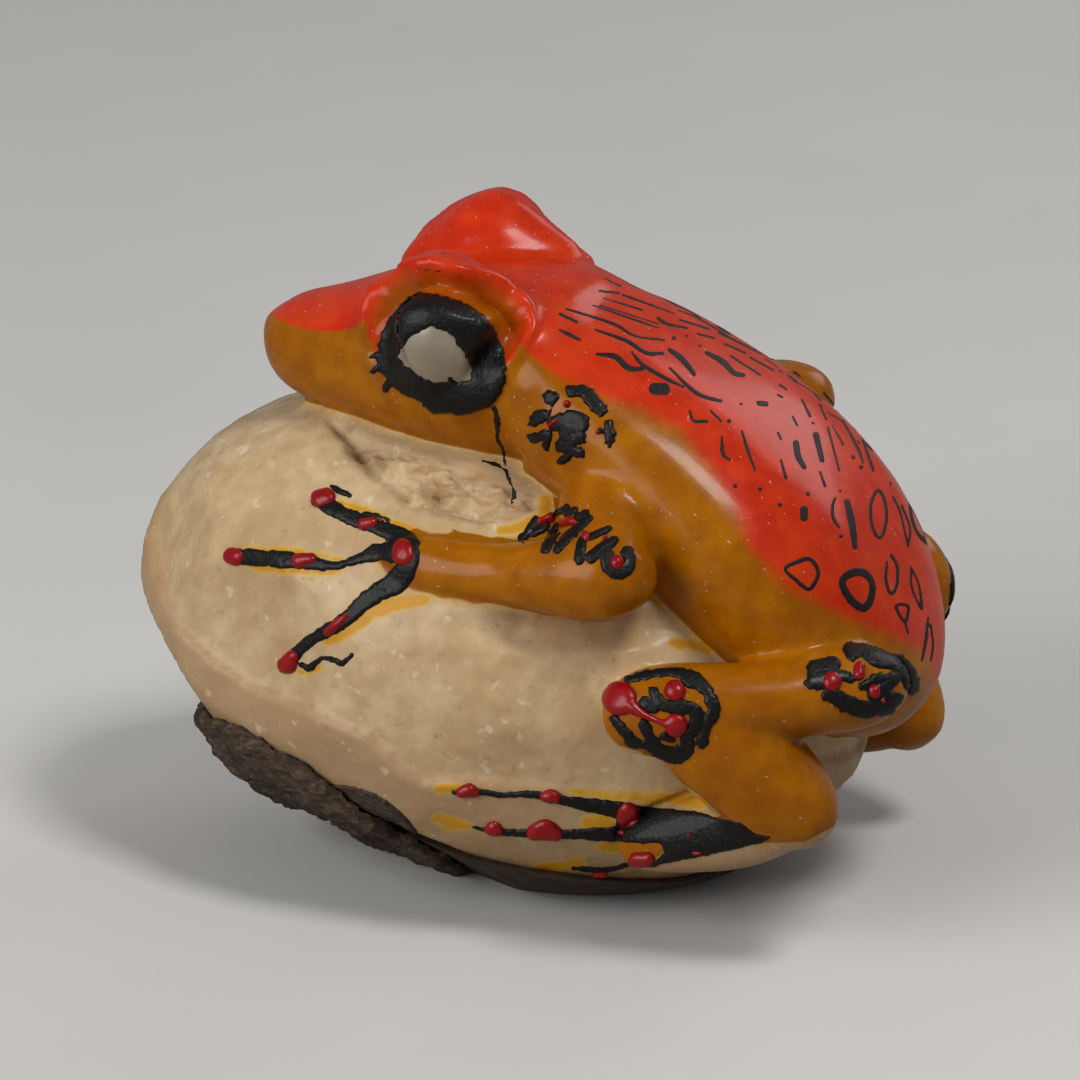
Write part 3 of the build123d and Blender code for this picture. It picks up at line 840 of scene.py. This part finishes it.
def redGlossFinish():
    finish = Finish("redGloss")
    grain = finish.noise(0.8 * mm, 3)
    colour = finish.mix(grain, tone(116, 2, 8), tone(158, 8, 16))
    skin = finish.noise(0.3 * mm, 2)
    return finish.surface(Base_Color=colour, Roughness=0.25 + 0.15 * grain, Specular_IOR_Level=0.25,
                          Coat_Weight=0.18, Coat_Roughness=0.1, Normal=finish.bump(skin, 0.04 * mm, 0.4))


def eyeFinish():
    finish = Finish("bareEye")
    cloud = finish.noise(1.6 * mm, 3)
    colour = finish.mix(cloud, tone(128, 116, 98), tone(160, 150, 130))
    return finish.surface(Base_Color=colour, Roughness=0.3 + 0.15 * cloud, Coat_Weight=0.2, Coat_Roughness=0.15,
                          Normal=finish.bump(finish.noise(0.4 * mm, 2), 0.03 * mm, 0.3))


def carvedFinish():
    finish = Finish("dyedIvory")
    edge, softness = finish.field("redEdge"), finish.field("redSoftness")
    dye, bleed = finish.field("dyeEdge"), finish.field("bleed")
    pared, chipped = finish.field("pared"), finish.field("chipped")
    broad, middle, fine = finish.noise(6 * mm, 3), finish.noise(1.8 * mm, 4), finish.noise(0.45 * mm, 3)
    specks = finish.noise(0.28 * mm, 1).step(0.74, 0.78)
    hoodShade, shade = finish.field("hoodShade"), finish.field("shade")
    flake = finish.noise(1.9 * mm, 2, 0.5, 0.5, finish.stretched((1.0, 1.0, 2.6), (0, 0.55, 0.3)))
    plates = flake.maths("SNAP", flake, 0.07)
    red = finish.mix(middle.step(0.35, 0.7), tone(190, 40, 9), tone(208, 54, 16))
    red = finish.mix(broad.step(0.45, 0.75) * 0.5, red, tone(196, 64, 18))
    amber = finish.mix(middle.step(0.3, 0.7), tone(150, 84, 0), tone(172, 103, 0))
    amber = finish.mix(broad.step(0.4, 0.8) * 0.6, amber, tone(134, 70, 0))
    pale = finish.mix(middle.step(0.3, 0.75), tone(184, 154, 114), tone(204, 179, 140))
    pale = finish.mix(broad.step(0.35, 0.8) * 0.6, pale, tone(174, 138, 98))
    pale = finish.mix((1 - pared) * 0.65, pale, tone(158, 124, 92))
    pale = finish.mix(chipped * flake.step(0.5, 0.38) * 0.6, pale, tone(160, 118, 84))
    # painted shadow under the forearm, under the chin and along the nut's bottom edge
    pale = finish.mix(shade * 0.45, pale, tone(132, 86, 46))
    pale = finish.mix((1 - fine.step(0.26, 0.36)) * 0.35, pale, tone(140, 104, 72))
    pale = finish.mix(finish.noise(1.2 * mm, 2).step(0.66, 0.72) * 0.4, pale, tone(222, 208, 182))
    wobble = (middle - 0.5) * 0.5 + (fine - 0.5) * 0.35
    redShare = (edge + wobble * softness).step(-1 * softness, softness)
    dyed = finish.mix(redShare, amber, red)
    # painted shade in the hood's recess: the dye turns darker brown-orange there
    dyed = finish.mix(hoodShade * 0.6, dyed, tone(160, 70, 4))
    stain = finish.mix(bleed.step(0.3, 0.9), tone(206, 172, 60), tone(196, 138, 4))
    stained = finish.mix((bleed * (0.45 + middle * 0.8)).step(0.08, 0.72) * 0.9, pale, stain)
    dyeShare = (dye + wobble * 0.05).step(-0.07, 0.09)
    pooled = (dye + wobble * 0.3).step(-0.1, 0.15) * (1 - (dye + wobble * 0.3).step(0.2, 0.9))
    dyed = finish.mix(pooled * 0.35, dyed, tone(116, 66, 4))
    halo = dye.step(-0.75, -0.1)
    colour = finish.mix(dyeShare, finish.mix(halo * 0.35, stained, tone(190, 140, 40)), dyed)
    colour = finish.mix(specks * 0.35, colour, tone(232, 214, 190))
    colour = finish.mix(finish.field("ink"), colour, tone(10, 9, 9))
    height = fine * 0.35 + middle * 0.5 + chipped * plates * 9
    return finish.surface(Base_Color=colour, Roughness=0.15 + 0.14 * middle + 0.06 * fine,
                          Specular_IOR_Level=0.14, Coat_Weight=0.09 * dyeShare, Coat_Roughness=0.08,
                          Subsurface_Weight=0.08, Subsurface_Scale=0.7 * mm, Subsurface_Radius=(1.0, 0.5, 0.25),
                          Normal=finish.bump(height, 0.06 * mm, 0.35))


def skinFinish():
    finish = Finish("darkSkin")
    grain = finish.noise(0.9 * mm, 4)
    colour = finish.mix(grain.step(0.3, 0.7), tone(30, 20, 14), tone(70, 48, 34))
    return finish.surface(Base_Color=colour, Roughness=0.6 + 0.2 * grain,
                          Normal=finish.bump(grain, 0.12 * mm, 0.6))


def huskFinish():
    finish = Finish("fibrousHusk")
    along = finish.stretched((1, 3.2, 3.2), (0, 0.2, 0.5))
    fibre = finish.noise(1.1 * mm, 5, 0.65, 0.6, along)
    pits = finish.noise(1.8 * mm, 3)
    colour = finish.node("ShaderNodeValToRGB", {"stops": [
        (0.28, tone(30, 21, 14)), (0.5, tone(66, 49, 34)), (0.7, tone(112, 90, 66))]}, {"Fac": fibre})
    colour = finish.mix((1 - pits.step(0.32, 0.5)) * 0.85, colour, tone(24, 16, 10))
    return finish.surface(Base_Color=colour, Roughness=0.85, Normal=finish.bump(fibre + pits, 0.35 * mm, 0.9))


dyedIvory, blackGloss, blackInk = carvedFinish(), blackFinish(), inkFinish()
redGloss, bareEye = redGlossFinish(), eyeFinish()
bleedLines = [
    [(245, 549, 2), (292, 551, 2.5), (318, 556, 2.5), (342, 560, 2)], [(250, 566, 2.5), (300, 571, 3), (340, 572, 3)],
    [(340, 503, 3), (365, 511, 3), (392, 522, 3), (416, 531, 3)],
    [(328, 641, 4), (346, 631, 7), (372, 611, 8), (390, 597, 5)],
    [(372, 612, 6), (400, 603, 7), (424, 600, 5)], [(318, 668, 3), (300, 672, 2)], [(441, 789, 5), (458, 787, 3)],
    [(436, 818, 4), (450, 823, 6), (470, 826, 3)], [(570, 791, 2), (610, 796, 3), (660, 798, 5), (700, 801, 7)],
    [(585, 822, 5), (605, 823, 8)], [(600, 846, 4), (630, 848, 6), (655, 850, 8)], [(540, 868, 5), (580, 864, 5)],
    [(545, 500, 6), (540, 520, 6), (500, 532, 3)], [(640, 590, 6), (660, 600, 6)], [(672, 642, 4), (706, 648, 6)],
]
# painted shadow: brown laid under the forearm, under the chin and along the nut's lower edge above the floor
paintedShadeLines = [
    [(500, 612, 8), (560, 630, 12), (612, 632, 14), (640, 610, 10)], [(470, 470, 2), (520, 486, 6)],
    [(560, 868, 6), (640, 874, 6), (740, 868, 5)],
]
dyeing = {
    "farFootShift": 30,
    "footBareTo": 24.5 * mm,
    "edgePixels": 8,
    "evenRounds": 6,
    "redSoftness": (2, 11),
    "hoodSoftness": 13,
    "hoodFrom": 4.2 * mm,
    "inkFrom": 6 * mm,
    "between": {"middle": 463, "reach": 97, "width": 4.6 * mm, "above": 31 * mm},
}


def dyeEdge(piece, points, across, down, fromKernel, fromLimb, fromBody):
    away = points[:, 1] > 0
    dye = evened(piece, np.clip((fromKernel - np.minimum(fromLimb, fromBody)) / mm, -1, 1), dyeing["evenRounds"])
    pit = np.where(away, -1, outlineField(across, down, outlines["elbowPit"]) / dyeing["edgePixels"])
    bare = outlineField(across, down - away * dyeing["farFootShift"], outlines["bareFoot"]) / dyeing["edgePixels"]
    return np.minimum(np.maximum(dye, np.clip(pit, -1, 0.5)),
                      -np.minimum(bare, (dyeing["footBareTo"] - points[:, 0]) / mm))


def dress(piece):
    points, facing = places(piece), normals(piece)
    across, down = toPixels(points)
    eyeAcross, eyeDown = toEyePixels(points, across, down)
    away, side = points[:, 1] > 0, np.abs(points[:, 1])
    fromKernel = signedDistance(kernelTree, points)
    fromLimb, fromBody = signedDistance(limbTree, points), signedDistance(bodyTree, points)

    red = outlineField(across, down, outlines["redBelow"])
    farRed = np.maximum(red, (facing @ lookBack + 0.15) * 160)
    red = np.where(away, np.minimum(farRed, (fromLimb - fromBody) / pixelSize + 4), red)
    red = np.minimum(red, (facing[:, 2] + 0.45) * 60)
    sharp, soft = dyeing["redSoftness"]
    softness = sharp + (soft - sharp) * smooth(520, 600, across)
    gap = dyeing["between"]
    between = (side < gap["width"]) & (np.abs(eyeAcross - gap["middle"]) < gap["reach"])
    red = np.where(between & (points[:, 2] > gap["above"]) & (facing[:, 2] > -0.2), 20, red)

    hoodDepth = outlineField(eyeAcross, eyeDown, outlines["hoodInside"])
    inHood = (hoodDepth > 0) & ~(away & (facing @ lookBack > -0.2)) & (side > dyeing["hoodFrom"])
    low = smooth(345, 375, eyeDown) * smooth(500, 480, eyeAcross)
    red = np.where(inHood, 10 - hoodDepth * 0.6 - low * 60, red)
    softness = np.where(inHood, dyeing["hoodSoftness"], softness)
    # painted shade: the recess under the hood rim is darkened, most a little inside the rim and on its upper part
    hoodShade = smooth(4, 16, hoodDepth) * smooth(46, 18, hoodDepth) * smooth(400, 345, eyeDown)
    ring = np.minimum(outlineField(eyeAcross, eyeDown, eyeOutline), -outlineField(eyeAcross, eyeDown, pupilOutline))
    bleed = chainField(across, down, bleedLines) + ragged(across, down, 9, 3) * 3

    for name, values in (
            ("ink", smooth(0, 3, ring) * (side > dyeing["inkFrom"])),
            ("hoodShade", inHood * hoodShade),
            ("redEdge", np.clip(red / 20, -2, 2)),
            ("redSoftness", softness / 20),
            ("dyeEdge", dyeEdge(piece, points, across, down, fromKernel, fromLimb, fromBody)),
            ("bleed", smooth(-6, 4, bleed)),
            ("pared", smooth(-5, 5, outlineField(across, down, outlines["pared"]))),
            # painted shadow mask under the forearm, the chin and the nut's bottom edge
            ("shade", smooth(-14, 16, chainField(across, down, paintedShadeLines))),
            ("chipped", smooth(-6, 12, outlineField(across, down, outlines["chinHollow"])))):
        writeField(piece, name, values)
    piece.data.materials.clear()
    piece.data.materials.append(dyedIvory)
    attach(piece, "root")


dress(frogCarving)
dress(nutCarving)
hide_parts(*frogNodes)
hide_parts("nut_kernel")
print("carving dressed")


def isNear(chain):
    middle = chain[len(chain) // 2]
    start, aim = pixelRay(middle[0], middle[1], -1)
    spot, facing, face, away = paintTree.ray_cast(start, aim)
    return spot is not None and spot.y < -4.5 * mm


sheets = [
    # name, lines, colour, height, width of the rounded edge and its raggedness in pixels, CAD nodes replaced
    ("eyeRing", eyeLines, "black", "eyeHeight", 9, 2.0, ["eye_ring"]),
    ("handPaint", handLines, "black", "blackHeight", 6, 1.2, ["hand"]),
    ("footPaint", footLines, "black", "blackHeight", 6, 0.8, ["toes"]),
    ("armPaint", armLines, "black", "blackHeight", 5, 1.4, []),
    ("chestPaint", chestLines, "black", "blackHeight", 5, 2.6, []),
    ("kneePaint", kneeLines, "black", "blackHeight", 5, 2.0, []),
    ("hipPaint", hipLines, "black", "blackHeight", 5, 2.2, []),
    ("backStrokes", backLines, "black", "stainHeight", 3, 0, []),
    # painted shadow of the crack behind the jaw, as a dark sheet
    ("crackPaint", crackShadowLines, "black", "stainHeight", 3, 1.2, []),
    ("handDrops", handLines, "red", "redHeight", 9, 0.4, ["drops"]),
    ("footDrops", footLines, "red", "redHeight", 9, 0.3, []),
    ("armDrops", armLines, "red", "redHeight", 9, 0.5, []),
    ("chestDrops", chestLines, "red", "redHeight", 9, 0.3, []),
    ("kneeDrops", kneeLines, "red", "redHeight", 12, 0.2, []),
    ("hipDrops", hipLines, "red", "redHeight", 9, 0.3, []),
]
farSeed = 40
eyeDome = {"corners": ((380, 310), (490, 400)), "wider": 4, "height": 0.12 * mm, "edge": 20}
for sideName, side in (("left", -1), ("right", 1)):
    far = side > 0
    for index, (label, lines, colour, height, edge, roughEdge, replaced) in enumerate(sheets):
        thin, slot = height == "stainHeight", colour + "_paint"
        drawn = lines
        if far and label in ("backStrokes", "crackPaint"):
            drawn = dict(lines, **{colour: [chain for chain in lines[colour] if isNear(chain)]})
        piece = paintSheet(sideName + label[0].upper() + label[1:],
                           paintField(drawn, colour, index + (farSeed if far else 0), roughEdge),
                           cornersOf(drawn, colour), side, paint[height], edge,
                           lines.get("shift", (0, 0)) if far else (0, 0), lines.get("hinge"),
                           redGloss if colour == "red" else blackInk if thin else blackGloss,
                           1.0 if thin else 1.5, 32 if label == "eyeRing" else 21)
        if piece is None:
            continue
        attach(piece, "root")
        if replaced:
            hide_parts(*[sideName + "_" + node for node in replaced])
    eye = paintSheet(sideName + "Eye", lambda a, d: outlineField(a, d, pupilOutline) + eyeDome["wider"],
                     eyeDome["corners"], side, eyeDome["height"], eyeDome["edge"],
                     eyeShift if far else (0, 0), None, bareEye)
    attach(eye, "root")
    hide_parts(sideName + "_eye")
print("paint laid on")

darkSkin = skinFinish()
nodes["seed_skin"].data.materials.clear()
nodes["seed_skin"].data.materials.append(darkSkin)
skinLine = [[
    (193, 719, 1.4), (219, 737, 1.6), (239, 750, 1.4), (264, 761, 1.6), (292, 774, 1.4), (315, 784, 1.6),
    (348, 787, 1.5), (376, 796, 1.7), (402, 815, 1.6), (421, 838, 1.6), (440, 848, 1.5), (455, 854, 1.4),
]]
skinBelow = [spot[:2] for spot in skinLine[0]] + [
    (470, 880), (430, 872), (390, 850), (340, 830), (280, 806), (200, 750),
]
fibres = huskFinish()
for name, field, height, finish in (
        ("skinRest", lambda a, d: outlineField(a, d, skinBelow) + ragged(a, d, 6, 4) * 2, 0.12 * mm, fibres),
        ("skinEdge", lambda a, d: chainField(a, d, skinLine) + ragged(a, d, 4, 9) * 0.9, 0.2 * mm, darkSkin)):
    layer = paintSheet(name, field, ((180, 700), (490, 890)), -1, height, 2, (0, 0), None, finish)
    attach(layer, "root")
print("skin edge laid on")

huskSurface = {
    "voxel": 0.22 * mm,
    "lumps": 0.35 * mm,
    "lumpSize": 2.6 * mm,
    "pits": 0.12 * mm,
    "pitSize": 0.8 * mm,
}


def makeHusk():
    husk = copyNodes("husk", ["husk_patch"])
    modify(husk, "REMESH", mode="VOXEL", voxel_size=huskSurface["voxel"], adaptivity=0)
    points = places(husk)
    lumps = unevenness(points, huskSurface["lumpSize"], 11.0, 5) * huskSurface["lumps"]
    pits = unevenness(points, huskSurface["pitSize"], 19.0, 3) * huskSurface["pits"]
    points += normals(husk) * (lumps + pits)[:, None]
    points[:, 2] = np.maximum(points[:, 2], 0)
    movePlaces(husk, points)
    onlySelect(husk)
    bpy.ops.object.shade_smooth()
    husk.data.materials.append(fibres)
    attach(husk, "root")
    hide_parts("husk_patch")
    print("husk roughened")


makeHusk()


backdrop = {"size": 3, "sky": (0.92, 0.95, 1.0, 1), "skyStrength": 0.2}


def makeFloor():
    bpy.ops.mesh.primitive_plane_add(size=backdrop["size"], location=(0, 0, 0))
    floor = bpy.context.object
    floor.name = "floor"
    finish = Finish("paleFloor")
    cloud = finish.noise(30 * mm, 4)
    seen = finish.node("ShaderNodeLightPath", {}, {}, "Is Camera Ray")
    floor.data.materials.append(finish.surface(
        Base_Color=finish.mix(seen, finish.mix(cloud, tone(150, 146, 139), tone(160, 156, 149)),
                              finish.mix(cloud, tone(206, 203, 198), tone(216, 213, 208))), Roughness=0.8))
    world = bpy.data.worlds.new("studio")
    bpy.context.scene.world = world
    world.use_nodes = True
    sky = world.node_tree.nodes["Background"]
    sky.inputs["Color"].default_value = backdrop["sky"]
    sky.inputs["Strength"].default_value = backdrop["skyStrength"]


makeFloor()
makeCamera()
makeLamps()
print("floor, camera and lamps in place")
bpy.context.scene.view_settings.view_transform = "Standard"
